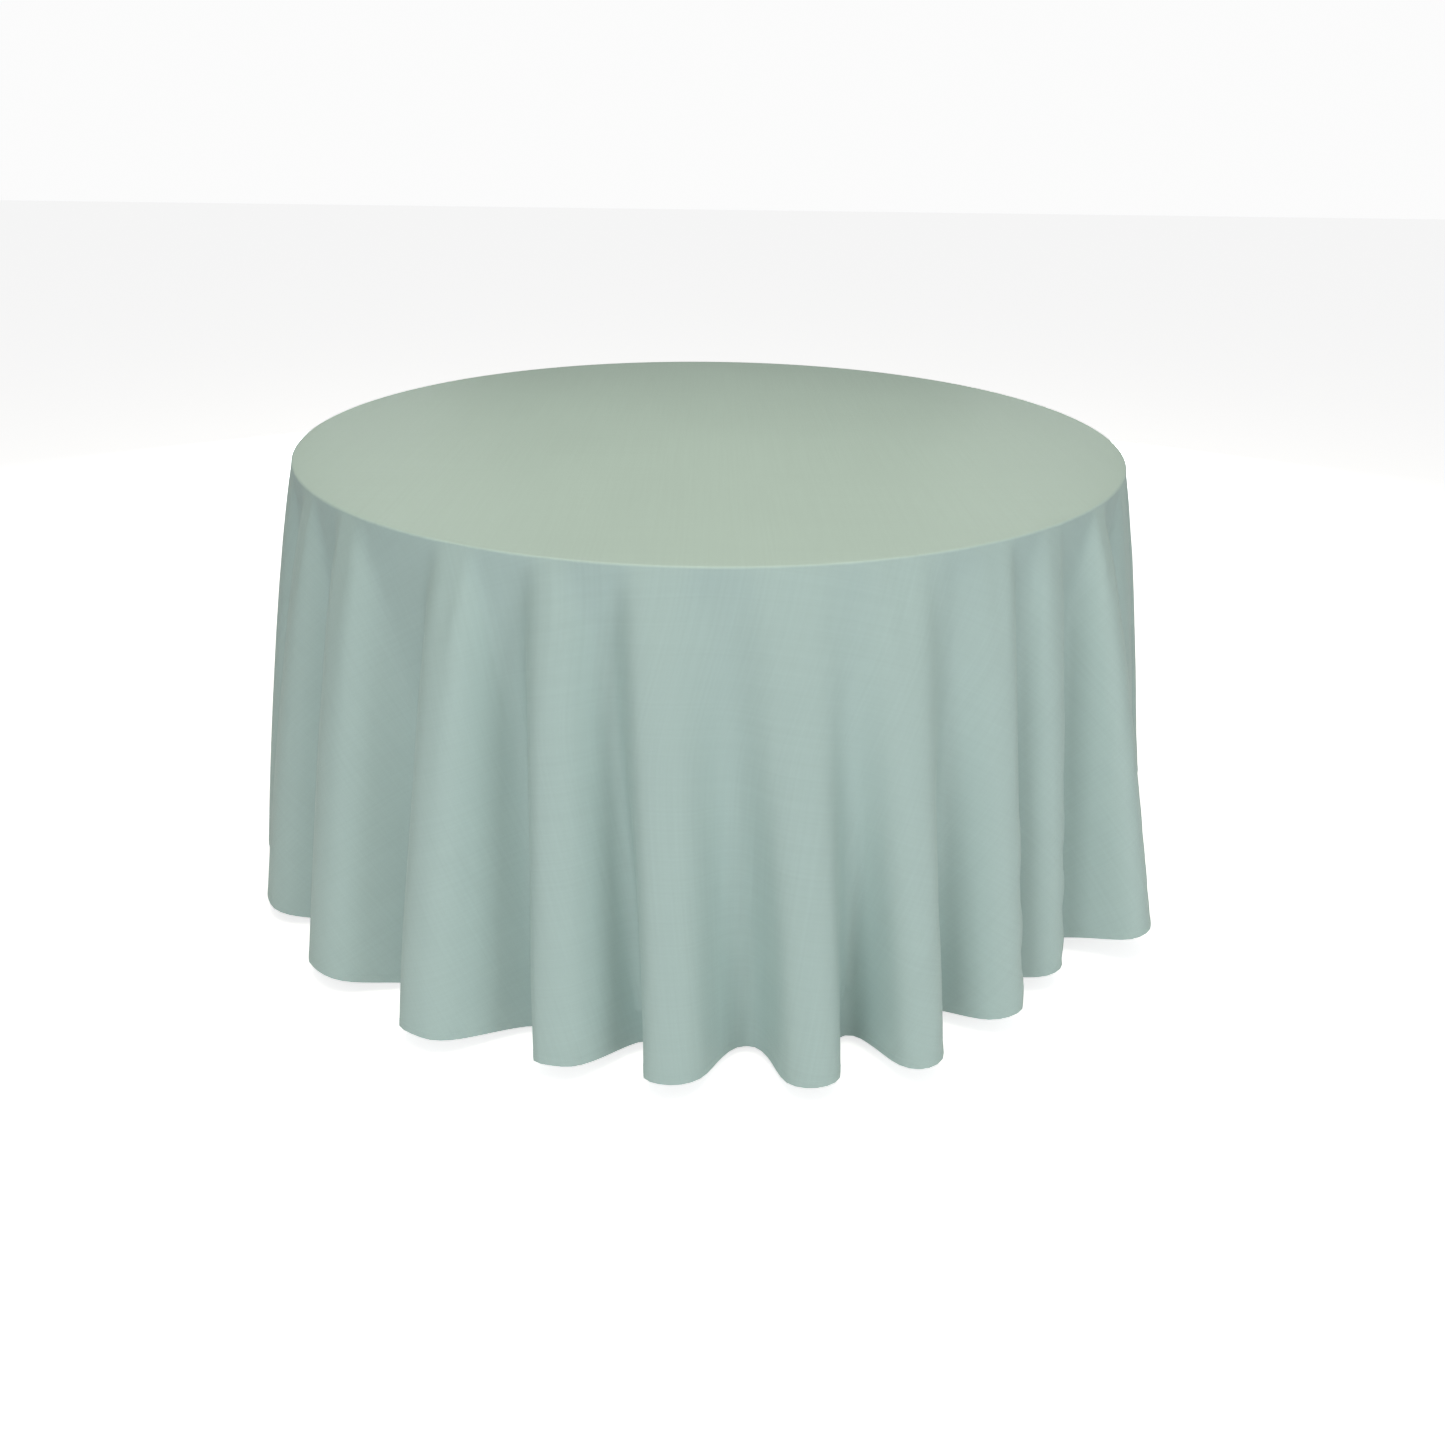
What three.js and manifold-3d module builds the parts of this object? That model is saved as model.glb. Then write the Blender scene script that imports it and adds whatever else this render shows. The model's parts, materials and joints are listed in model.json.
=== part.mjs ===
// A round tablecloth hanging to the floor over a folding banquet table.
// Millimetres, +Z up. The origin is on the floor under the middle of the table.
// The front of the table is towards -Y and its right-hand side towards +X.

import * as THREE from 'three';
import { mergeVertices } from 'three/addons/utils/BufferGeometryUtils.js';
import Module from 'manifold-3d';

const wasm = await Module();
wasm.setup();

// ---------------------------------------------------------------- driving dimensions

const GAP = 0.3;                  // between pieces that touch
const RUNNING = 0.4;              // radial clearance where a piece turns on a tube

const TABLE_DIAMETER = 1524;      // over the edge band
const TABLE_HEIGHT = 762;         // floor to the bare table top
const PANEL_THICKNESS = 19;
const BAND_THICKNESS = 3;         // vinyl edge band, measured outwards
const BAND_ROUNDING = 1.8;        // of its two outer edges

const CLOTH_DIAMETER = 3048;      // flat, before it is laid
const CLOTH_WALL = 2.5;
const CLOTH_EASE = 1;             // cloth to table edge, measured outwards
const EDGE_ROUNDING = 6;          // how softly the cloth turns over the table edge
const EDGE_FLATS = 1.8;           // flats on either side of that rounding
const HEM_WIDTH = 12;
const HEM_WALL = 3.5;
const VALLEY_REACH = 88;          // how far the hem stands out between two folds
const FOLD_GROWTH = 0.8;          // power with which a fold grows from rim to hem

// Every fold of the skirt: where it stands round the table, in degrees from the front
// towards the right, and how far its hem stands out from the table edge.
const FOLDS = [
  [-56, 200], [-41.5, 206], [-28, 208], [-14, 184], [-4, 194],
  [9, 210], [19, 222], [30.5, 188], [39, 160], [48.5, 236],
  [62, 205], [75, 196], [87, 204], [101, 210], [113, 190],
  [127, 206], [140, 214], [152, 188], [166, 202], [179, 206],
  [191, 192], [205, 210], [217, 200], [231, 212], [243, 190],
  [256, 204], [269, 206], [281, 196], [292, 190],
];

const RUNNER_LENGTH = 1120;       // wooden runners glued and screwed under the panel
const RUNNER_WIDTH = 24;
const RUNNER_DEPTH = 50;
const RUNNER_SPREAD = 800;        // centre to centre
const RUNNER_SCREW_INSET = 90;    // from the runner's end

const PIVOT_SPREAD = 940;         // front leg hinge to back leg hinge
const PIVOT_DROP = 26;            // hinge axis below the panel
const PIVOT_TUBE = 25.4;
const LEG_TUBE = 28.6;
const RAIL_TUBE = 22.2;
const TUBE_WALL = 1.6;
const LEG_SADDLE = 6.4;           // hinge axis down to the leg's notched end
const LEG_SPREAD = 660;           // between the two legs of one frame
const LEG_SHIFT = 20;             // sideways, so that the two frames fold past each other
const LEG_SPLAY = 4;              // degrees outwards when open
const RAIL_DROP = 190;            // cross rail below the hinge, along the leg
const CAP_WALL = 3;               // rubber foot cap
const CAP_BASE = 6;
const CAP_HEIGHT = 34;

const BRACKET_THICKNESS = 3;      // hinge bracket plate
const BRACKET_LENGTH = 84;
const BRACKET_DEPTH = 44;
const BRACKET_SCREWS = 56;        // between its two screws
const BRACKET_ROUNDING = 8;

const BRACE_WIDTH = 18;
const BRACE_THICKNESS = 5;
const BRACE_EYE_WALL = 7;
const BRACE_SHIFT = 22;           // sideways, so that the two braces pass each other
const BRACE_REACH = 240;          // leg hinge to the brace's upper end, when open
const GLIDE_DROP = 14;            // the brace's glide pin below the panel
const GLIDE_DIAMETER = 13;
const GLIDE_HEAD = 3;
const GLIDE_SHANK = 8;
const COLLAR_WIDTH = 6;
const COLLAR_WALL = 4;

const TRACK_WIDTH = 30;           // channel that guides the glide pin
const TRACK_DEPTH = 22;
const TRACK_WALL = 2;
const TRACK_END_ROOM = 12;        // past the glide pin at its inner end
const TRACK_SLOT = 9;             // lets the brace through the channel's end wall
const TRACK_STOP_GAP = 0.5;       // glide pin to the end wall that it rests on
const TRACK_SCREW_INSET = 40;

const SCREW_SHANK = 4;
const SCREW_HEAD = 9;
const SCREW_HEAD_HEIGHT = 2.4;
const SCREW_HEAD_FLAT = 5.8;      // the flat on top of its domed head
const SCREW_HEAD_RIM = 0.8;       // height at which the dome ends
const BRACKET_SCREW_LENGTH = 20;
const RUNNER_SCREW_LENGTH = 60;
const TRACK_SCREW_LENGTH = 15;

const ROUND = 20;                 // sides of a tube
const SMALL_ROUND = 8;            // sides of a screw
const PANEL_ROUND = 96;           // sides of the panel
const FOLD_STEPS = 8;             // sides of the cloth's shell for each fold
const SKIRT_LEVELS = [0.1, 0.24, 0.42, 0.68]; // shares of the drop at which the shell bends

// ---------------------------------------------------------------- derived places

const TABLE_RADIUS = TABLE_DIAMETER / 2;
const PANEL_UNDER = TABLE_HEIGHT - PANEL_THICKNESS;
const PIVOT_Z = PANEL_UNDER - PIVOT_DROP;
const SPLAY = THREE.MathUtils.degToRad(LEG_SPLAY);
const LEG_REACH = PIVOT_Z / Math.cos(SPLAY);              // hinge to floor, along the leg
const CLOTH_UNDER = TABLE_HEIGHT + GAP;
const CLOTH_TOP = CLOTH_UNDER + CLOTH_WALL;
const DROP = (CLOTH_DIAMETER - TABLE_DIAMETER) / 2;       // cloth that hangs past the edge
const SKIRT_INSIDE = TABLE_RADIUS + CLOTH_EASE;
const RUNNER_FACE = RUNNER_SPREAD / 2 - RUNNER_WIDTH / 2;

// Where the brace meets the cross rail and the track, seen from the leg hinge when open.
const RAIL_POINT = { y: -RAIL_DROP * Math.sin(SPLAY), z: -RAIL_DROP * Math.cos(SPLAY) };
const GLIDE_POINT = { y: BRACE_REACH, z: PIVOT_DROP - GLIDE_DROP };
const BRACE_LENGTH = Math.hypot(GLIDE_POINT.y - RAIL_POINT.y, GLIDE_POINT.z - RAIL_POINT.z);
const BRACE_ANGLE = Math.atan2(GLIDE_POINT.z - RAIL_POINT.z, GLIDE_POINT.y - RAIL_POINT.y);
const FOLDED_GLIDE_Y = RAIL_DROP + Math.sqrt(BRACE_LENGTH ** 2 - GLIDE_POINT.z ** 2);

// ---------------------------------------------------------------- materials

const finish = (color, roughness, metalness = 0) => ({ color, roughness, metalness });
const FINISH = {
  cloth: finish(0xa3c4b6, 0.62),
  hem: finish(0x9cbdb0, 0.66),
  plywood: finish(0xc79f6b, 0.6),
  vinyl: finish(0x4a3a2c, 0.45),
  runner: finish(0xb98f5c, 0.65),
  steel: finish(0x3b3d40, 0.42, 0.3),
  zinc: finish(0xb6b8ba, 0.35, 0.9),
  rubber: finish(0x1c1c1d, 0.85),
};

// ---------------------------------------------------------------- solids

const asSolid = (geometry) => {
  geometry.deleteAttribute('normal');
  geometry.deleteAttribute('uv');
  const merged = mergeVertices(geometry, 1e-4);
  return new wasm.Manifold(new wasm.Mesh({
    numProp: 3,
    vertProperties: new Float32Array(merged.attributes.position.array),
    triVerts: new Uint32Array(merged.index.array),
  }));
};

const asGeometry = (solid) => {
  const mesh = solid.getMesh();
  const geometry = new THREE.BufferGeometry();
  geometry.setAttribute('position', new THREE.BufferAttribute(mesh.vertProperties, 3));
  geometry.setIndex(new THREE.BufferAttribute(mesh.triVerts, 1));
  return geometry;
};

// A rod along Z between two heights.
const rod = (diameter, low, high, sides = ROUND) => {
  const geometry = new THREE.CylinderGeometry(diameter / 2, diameter / 2, high - low, sides);
  geometry.rotateX(Math.PI / 2);
  geometry.translate(0, 0, (low + high) / 2);
  return geometry;
};

// The same rod laid along X.
const rodX = (diameter, low, high, sides = ROUND) =>
  rod(diameter, low, high, sides).rotateY(Math.PI / 2);

// A box between two corners.
const block = (low, high) => {
  const size = high.map((value, axis) => value - low[axis]);
  const geometry = new THREE.BoxGeometry(...size);
  return geometry.translate(...low.map((value, axis) => value + size[axis] / 2));
};

// A solid of revolution about Z. The outline goes anticlockwise, as [radius, height] points.
const turned = (outline, sides) => {
  const points = outline.map(([radius, height]) => new THREE.Vector2(radius, height));
  return new THREE.LatheGeometry(points, sides).rotateX(Math.PI / 2);
};

const piece = (name, look, geometry) => {
  const mesh = new THREE.Mesh(geometry, new THREE.MeshStandardMaterial(FINISH[look]));
  mesh.name = name;
  return mesh;
};

const cutPiece = (name, look, body, cuts) => {
  const solid = cuts.reduce((rest, cut) => rest.subtract(asSolid(cut)), asSolid(body));
  return piece(name, look, asGeometry(solid));
};

// ---------------------------------------------------------------- cloth

// How far the skirt stands out at one place: angle in degrees from the front, and the
// share of the drop that lies between the rim and this height of the cloth.
const reachAt = (angle, share) => {
  const first = FOLDS[0][0];
  const turn = first + ((((angle - first) % 360) + 360) % 360);
  let index = FOLDS.length - 1;
  while (FOLDS[index][0] > turn) index -= 1;
  const [start, reach] = FOLDS[index];
  const isLast = index === FOLDS.length - 1;
  const [nextStart, nextReach] = isLast ? [first + 360, FOLDS[0][1]] : FOLDS[index + 1];
  const way = (turn - start) / (nextStart - start);
  const ridge = reach + (nextReach - reach) * THREE.MathUtils.smoothstep(way, 0, 1);
  const wave = 0.5 + 0.5 * Math.cos(2 * Math.PI * way);
  const valley = VALLEY_REACH * share;
  return valley + (ridge * share ** FOLD_GROWTH - valley) * wave;
};

// Moves a turned skirt outwards into its folds. Its height below the cloth's top is length
// of cloth, so what stands out also hangs a little higher.
const gatherIntoFolds = (geometry) => {
  const places = geometry.attributes.position;
  for (let i = 0; i < places.count; i += 1) {
    const length = CLOTH_TOP - places.getZ(i);
    const radius = Math.hypot(places.getX(i), places.getY(i));
    if (length > EDGE_ROUNDING + CLOTH_WALL && radius > TABLE_RADIUS) {
      const angle = Math.atan2(places.getX(i), -places.getY(i));
      const reach = reachAt(THREE.MathUtils.radToDeg(angle), length / DROP);
      const grown = (radius + reach) / radius;
      places.setX(i, places.getX(i) * grown);
      places.setY(i, places.getY(i) * grown);
      places.setZ(i, CLOTH_TOP - Math.sqrt(length ** 2 - reach ** 2));
    }
  }
  return geometry;
};

// A lathe splits its quads along one diagonal on the way down its outline and along the
// other on the way up. The folds twist the quads, so the inside of a shell is split like the
// outside, and the two walls stay apart. The inside comes first in the outline.
const splitInsideLikeOutside = (geometry, outlineRows, insideRows) => {
  const index = geometry.index.array;
  for (let quad = 0; quad * 6 < index.length; quad += 1) {
    if (quad % outlineRows < insideRows) {
      const [a, b, , c, d] = index.slice(quad * 6, quad * 6 + 6);
      index.set([a, b, c, c, d, a], quad * 6);
    }
  }
  return geometry;
};

const makeTablecloth = () => {
  const end = CLOTH_TOP - DROP + HEM_WIDTH + GAP;
  const outside = SKIRT_INSIDE + CLOTH_WALL;
  const levels = SKIRT_LEVELS.map((share) => CLOTH_TOP - DROP * share);
  const inner = [
    [0, CLOTH_UNDER],
    [SKIRT_INSIDE - EDGE_FLATS, CLOTH_UNDER],
    [SKIRT_INSIDE, CLOTH_UNDER - EDGE_FLATS],
    ...levels.map((height) => [SKIRT_INSIDE, height]),
    [SKIRT_INSIDE, end],
  ];
  const outer = [
    [outside, end],
    ...levels.map((height) => [outside, height]).reverse(),
    [outside, CLOTH_TOP - EDGE_ROUNDING],
    [outside - EDGE_FLATS, CLOTH_TOP - EDGE_FLATS],
    [outside - EDGE_ROUNDING, CLOTH_TOP],
    [0, CLOTH_TOP],
  ];
  const outline = [...inner, ...outer];
  const shell = turned(outline, FOLDS.length * FOLD_STEPS);
  splitInsideLikeOutside(shell, outline.length - 1, inner.length - 1);
  return piece('tablecloth', 'cloth', gatherIntoFolds(shell));
};

const makeHem = () => {
  const low = CLOTH_TOP - DROP;
  const inside = SKIRT_INSIDE - (HEM_WALL - CLOTH_WALL) / 2;
  const outline = [
    [inside, low],
    [inside + HEM_WALL, low],
    [inside + HEM_WALL, low + HEM_WIDTH],
    [inside, low + HEM_WIDTH],
    [inside, low],
  ];
  const band = turned(outline, FOLDS.length * FOLD_STEPS);
  return piece('tablecloth_hem', 'hem', gatherIntoFolds(band));
};

// ---------------------------------------------------------------- table top

const SIDES = [['left', -1], ['right', 1]];
const RUNNER_SCREW_Y = RUNNER_LENGTH / 2 - RUNNER_SCREW_INSET;
const RUNNER_SCREW_HEAD_Z = PANEL_UNDER - GAP - RUNNER_DEPTH;
const BRACKET_SCREW_Y = [-BRACKET_SCREWS / 2, BRACKET_SCREWS / 2];
const TRACK_START = GLIDE_POINT.y - GLIDE_DIAMETER / 2 - TRACK_STOP_GAP - TRACK_WALL;
const TRACK_END = FOLDED_GLIDE_Y + TRACK_END_ROOM;
const TRACK_SCREW_Y = [TRACK_START + TRACK_SCREW_INSET, TRACK_END - TRACK_SCREW_INSET];

// A screw whose head sits at height 0 and whose shank goes up from it.
const screwShape = (length) => {
  const shank = SCREW_SHANK / 2;
  return turned([
    [0, -SCREW_HEAD_HEIGHT],
    [SCREW_HEAD_FLAT / 2, -SCREW_HEAD_HEIGHT],
    [SCREW_HEAD / 2, -SCREW_HEAD_RIM],
    [SCREW_HEAD / 2, 0],
    [shank, 0],
    [shank, length - SCREW_SHANK],
    [0, length],
  ], SMALL_ROUND);
};

// The hole that a screw needs, from a little below its head seat to past its point.
const screwHole = (length) => rod(SCREW_SHANK + 2 * GAP, -GAP, length + GAP, SMALL_ROUND);

// A station is one leg frame with its hinges and brace, in a group at its hinge axis and
// facing outwards. The back station is the front one turned half round.
const STATIONS = [['front', 0], ['back', Math.PI]];

const inStation = (geometry, turn) => geometry
  .translate(0, -PIVOT_SPREAD / 2, PIVOT_Z)
  .rotateZ(turn);

const trackScrewHoles = () => STATIONS.flatMap(([, turn]) => TRACK_SCREW_Y.map((y) =>
  inStation(screwHole(TRACK_SCREW_LENGTH).translate(BRACE_SHIFT, y, PIVOT_DROP - TRACK_WALL), turn)));

const makePanel = () => {
  const runnerHoles = SIDES.flatMap(([, side]) => [-1, 1].map((end) =>
    screwHole(RUNNER_SCREW_LENGTH)
      .translate(side * RUNNER_SPREAD / 2, end * RUNNER_SCREW_Y, RUNNER_SCREW_HEAD_Z)));
  const disc = rod(TABLE_DIAMETER - 2 * BAND_THICKNESS, PANEL_UNDER, TABLE_HEIGHT, PANEL_ROUND);
  return cutPiece('plywood_top', 'plywood', disc, [...runnerHoles, ...trackScrewHoles()]);
};

const makeEdgeBand = () => {
  const inside = TABLE_RADIUS - BAND_THICKNESS + GAP;
  return piece('edge_band', 'vinyl', turned([
    [inside, PANEL_UNDER],
    [TABLE_RADIUS - BAND_ROUNDING, PANEL_UNDER],
    [TABLE_RADIUS, PANEL_UNDER + BAND_ROUNDING],
    [TABLE_RADIUS, TABLE_HEIGHT - BAND_ROUNDING],
    [TABLE_RADIUS - BAND_ROUNDING, TABLE_HEIGHT],
    [inside, TABLE_HEIGHT],
    [inside, PANEL_UNDER],
  ], PANEL_ROUND));
};

const makeRunner = (sideName, side) => {
  const top = PANEL_UNDER - GAP;
  const bar = block(
    [-RUNNER_WIDTH / 2, -RUNNER_LENGTH / 2, top - RUNNER_DEPTH],
    [RUNNER_WIDTH / 2, RUNNER_LENGTH / 2, top],
  ).translate(side * RUNNER_SPREAD / 2, 0, 0);
  const upright = [-1, 1].map((end) => screwHole(RUNNER_SCREW_LENGTH)
    .translate(side * RUNNER_SPREAD / 2, end * RUNNER_SCREW_Y, RUNNER_SCREW_HEAD_Z));
  const level = [-1, 1].flatMap((end) => BRACKET_SCREW_Y.map((y) =>
    screwHole(BRACKET_SCREW_LENGTH)
      .rotateY(side * Math.PI / 2)
      .translate(
        side * (RUNNER_FACE - GAP - BRACKET_THICKNESS),
        end * PIVOT_SPREAD / 2 + y,
        PIVOT_Z,
      )));
  return cutPiece(`runner_${sideName}`, 'runner', bar, [...upright, ...level]);
};

const makeRunnerScrews = () => SIDES.flatMap(([sideName, side]) =>
  [['front', -1], ['back', 1]].map(([endName, end]) => {
    const screw = piece(`runner_screw_${sideName}_${endName}`, 'zinc', screwShape(RUNNER_SCREW_LENGTH));
    screw.position.set(side * RUNNER_SPREAD / 2, end * RUNNER_SCREW_Y, RUNNER_SCREW_HEAD_Z - GAP);
    return screw;
  }));

// ---------------------------------------------------------------- hinge brackets

const makeBracket = (name, side) => {
  const half = BRACKET_LENGTH / 2;
  const plate = new THREE.Shape();
  const top = PIVOT_DROP - GAP;
  const bottom = top - BRACKET_DEPTH;
  plate.moveTo(-half, top);
  plate.lineTo(-half, bottom + BRACKET_ROUNDING);
  plate.quadraticCurveTo(-half, bottom, -half + BRACKET_ROUNDING, bottom);
  plate.lineTo(half - BRACKET_ROUNDING, bottom);
  plate.quadraticCurveTo(half, bottom, half, bottom + BRACKET_ROUNDING);
  plate.lineTo(half, top);
  plate.closePath();
  const thick = new THREE.ExtrudeGeometry(plate, {
    depth: BRACKET_THICKNESS, bevelEnabled: false, curveSegments: 4,
  });
  // The outline's own x, y and depth become the bracket's Y, Z and X.
  thick.rotateX(Math.PI / 2).rotateZ(Math.PI / 2);
  const inner = RUNNER_FACE - GAP - BRACKET_THICKNESS;
  thick.translate(side > 0 ? inner : -inner - BRACKET_THICKNESS, 0, 0);
  const bore = rodX(PIVOT_TUBE + 2 * RUNNING, -RUNNER_FACE, RUNNER_FACE);
  const holes = BRACKET_SCREW_Y.map((y) =>
    rodX(SCREW_SHANK + 2 * GAP, -RUNNER_FACE, RUNNER_FACE, SMALL_ROUND).translate(0, y, 0));
  return cutPiece(name, 'steel', thick, [bore, ...holes]);
};

const makeBracketScrew = (name, side, y) => {
  const screw = piece(name, 'zinc', screwShape(BRACKET_SCREW_LENGTH));
  screw.rotation.y = side * Math.PI / 2;
  screw.position.set(side * (RUNNER_FACE - 2 * GAP - BRACKET_THICKNESS), y, 0);
  return screw;
};

// ---------------------------------------------------------------- brace and its track

const makeTrack = (name) => {
  const top = PIVOT_DROP - GAP;
  const bottom = top - TRACK_DEPTH;
  const body = block(
    [BRACE_SHIFT - TRACK_WIDTH / 2, TRACK_START, bottom],
    [BRACE_SHIFT + TRACK_WIDTH / 2, TRACK_END, top],
  );
  const inside = TRACK_WIDTH / 2 - TRACK_WALL;
  const channel = block(
    [BRACE_SHIFT - inside, TRACK_START + TRACK_WALL, bottom - 1],
    [BRACE_SHIFT + inside, TRACK_END + 1, top - TRACK_WALL],
  );
  const slot = block(
    [BRACE_SHIFT - TRACK_SLOT / 2, TRACK_START - 1, bottom - 1],
    [BRACE_SHIFT + TRACK_SLOT / 2, TRACK_START + TRACK_WALL + 1, top - TRACK_WALL],
  );
  const holes = TRACK_SCREW_Y.map((y) =>
    rod(SCREW_SHANK + 2 * GAP, bottom, top + 1, SMALL_ROUND).translate(BRACE_SHIFT, y, 0));
  return cutPiece(name, 'zinc', body, [channel, slot, ...holes]);
};

const makeTrackScrew = (name, y) => {
  const screw = piece(name, 'zinc', screwShape(TRACK_SCREW_LENGTH));
  screw.position.set(BRACE_SHIFT, y, PIVOT_DROP - TRACK_WALL - 2 * GAP);
  return screw;
};

// The brace is a flat bar with an eye round the cross rail. It is drawn lying along Y from
// the rail's centre, and stands on edge.
const makeBrace = (name) => {
  const eye = RAIL_TUBE / 2 + RUNNING + BRACE_EYE_WALL;
  const half = BRACE_WIDTH / 2;
  const neck = Math.asin(half / eye);
  const outline = new THREE.Shape();
  outline.absarc(0, 0, eye, neck, 2 * Math.PI - neck, false);
  outline.lineTo(BRACE_LENGTH, -half);
  outline.absarc(BRACE_LENGTH, 0, half, -Math.PI / 2, Math.PI / 2, false);
  outline.closePath();
  const bar = new THREE.ExtrudeGeometry(outline, {
    depth: BRACE_THICKNESS, bevelEnabled: false, curveSegments: 12,
  });
  bar.rotateX(Math.PI / 2).rotateZ(Math.PI / 2).translate(-BRACE_THICKNESS / 2, 0, 0);
  const wide = BRACE_THICKNESS;
  const railHole = rodX(RAIL_TUBE + 2 * RUNNING, -wide, wide);
  const pinHole = rodX(GLIDE_SHANK + 2 * GAP, -wide, wide).translate(0, BRACE_LENGTH, 0);
  return cutPiece(name, 'steel', bar, [railHole, pinHole]);
};

const makeGlidePin = (name) => {
  const half = BRACE_THICKNESS / 2 + GAP;
  const head = GLIDE_DIAMETER / 2;
  const shank = GLIDE_SHANK / 2;
  const pin = turned([
    [0, -half - GLIDE_HEAD],
    [head, -half - GLIDE_HEAD],
    [head, -half],
    [shank, -half],
    [shank, half],
    [head, half],
    [head, half + GLIDE_HEAD],
    [0, half + GLIDE_HEAD],
  ], SMALL_ROUND * 2).rotateY(Math.PI / 2);
  return piece(name, 'zinc', pin);
};

const makeBraceGroup = (station) => {
  const group = new THREE.Group();
  group.position.set(BRACE_SHIFT, RAIL_POINT.y, RAIL_POINT.z);
  group.rotation.x = BRACE_ANGLE;
  const pin = makeGlidePin(`brace_glide_pin_${station}`);
  pin.position.y = BRACE_LENGTH;
  group.add(makeBrace(`brace_${station}`), pin);
  return group;
};

// ---------------------------------------------------------------- leg frame

const LEG_END = -LEG_REACH + CAP_BASE + GAP + Math.tan(SPLAY) * LEG_TUBE / 2;

const makePivotTube = (name) => {
  const half = RUNNER_FACE - GAP;
  const bore = rodX(PIVOT_TUBE - 2 * TUBE_WALL, -half - 1, half + 1);
  return cutPiece(name, 'steel', rodX(PIVOT_TUBE, -half, half), [bore]);
};

const makeLeg = (name) => cutPiece(name, 'steel', rod(LEG_TUBE, LEG_END, -LEG_SADDLE), [
  rod(LEG_TUBE - 2 * TUBE_WALL, LEG_END - 1, 0),
  rodX(PIVOT_TUBE + 2 * GAP, -LEG_TUBE, LEG_TUBE),
]);

const makeRail = (name) => {
  const half = LEG_SPREAD / 2;
  const legs = [-half, half].map((x) => rod(LEG_TUBE + 2 * GAP, -LEG_TUBE, LEG_TUBE).translate(x, 0, 0));
  const bore = rodX(RAIL_TUBE - 2 * TUBE_WALL, -half, half);
  return cutPiece(name, 'steel', rodX(RAIL_TUBE, -half, half), [bore, ...legs]);
};

// The cap is a rubber cup whose underside is cut level with the floor.
const makeFootCap = (name) => {
  const outer = LEG_TUBE + 2 * (GAP + CAP_WALL);
  const below = block([-outer, -outer, -LEG_REACH - 2 * CAP_BASE], [outer, outer, -LEG_REACH]);
  below.translate(0, 0, LEG_REACH).rotateX(SPLAY).translate(0, 0, -LEG_REACH);
  const socket = rod(LEG_TUBE + 2 * GAP, LEG_END - GAP, -LEG_REACH + CAP_HEIGHT + 1);
  const cup = rod(outer, -LEG_REACH - CAP_BASE, -LEG_REACH + CAP_HEIGHT);
  return cutPiece(name, 'rubber', cup, [below, socket]);
};

const makeCollar = (name) => {
  const inside = RAIL_TUBE / 2 + GAP;
  const outside = inside + COLLAR_WALL;
  const ring = turned([
    [inside, -COLLAR_WIDTH / 2],
    [outside, -COLLAR_WIDTH / 2],
    [outside, COLLAR_WIDTH / 2],
    [inside, COLLAR_WIDTH / 2],
    [inside, -COLLAR_WIDTH / 2],
  ], ROUND).rotateY(Math.PI / 2);
  return piece(name, 'zinc', ring);
};

const makeLegFrame = (station, nameOf) => {
  const group = new THREE.Group();
  group.rotation.x = -SPLAY;
  const rail = makeRail(`cross_rail_${station}`);
  rail.position.set(LEG_SHIFT, 0, -RAIL_DROP);
  group.add(makePivotTube(`pivot_tube_${station}`), rail);
  for (const side of [-1, 1]) {
    const leg = makeLeg(`leg_${nameOf(side)}`);
    const cap = makeFootCap(`foot_cap_${nameOf(side)}`);
    for (const upright of [leg, cap]) upright.position.x = LEG_SHIFT + side * LEG_SPREAD / 2;
    const collar = makeCollar(`brace_collar_${nameOf(side)}`);
    const fromBrace = BRACE_THICKNESS / 2 + GAP + COLLAR_WIDTH / 2;
    collar.position.set(BRACE_SHIFT + side * fromBrace, 0, -RAIL_DROP);
    group.add(leg, cap, collar);
  }
  return group;
};

const makeStation = (station, turn) => {
  const group = new THREE.Group();
  const nameOf = (side) => `${station}_${side * Math.cos(turn) < 0 ? 'left' : 'right'}`;
  group.position.set(0, -PIVOT_SPREAD / 2 * Math.cos(turn), PIVOT_Z);
  group.rotation.z = turn;
  group.add(makeLegFrame(station, nameOf), makeBraceGroup(station), makeTrack(`brace_track_${station}`));
  TRACK_SCREW_Y.forEach((y, index) => {
    group.add(makeTrackScrew(`track_screw_${station}_${index + 1}`, y));
  });
  for (const side of [-1, 1]) {
    group.add(makeBracket(`hinge_bracket_${nameOf(side)}`, side));
    BRACKET_SCREW_Y.forEach((y, index) => {
      group.add(makeBracketScrew(`bracket_screw_${nameOf(side)}_${index + 1}`, side, y));
    });
  }
  return group;
};

// ---------------------------------------------------------------- the whole object

const clothedTable = new THREE.Group();
clothedTable.add(makeTablecloth(), makeHem(), makePanel(), makeEdgeBand());
for (const [sideName, side] of SIDES) clothedTable.add(makeRunner(sideName, side));
clothedTable.add(...makeRunnerScrews());
for (const [station, turn] of STATIONS) clothedTable.add(makeStation(station, turn));

export default clothedTable;
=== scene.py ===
"""A round table under a cloth that hangs to the floor.

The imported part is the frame. The cloth, its hem and its stitching are made here: a flat round
cloth is gathered into its folds, settled under its own weight, and given its thickness. The
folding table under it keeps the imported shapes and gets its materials.
"""

import json
import math

import bpy
import numpy as np
from mathutils import Matrix, Vector

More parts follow.
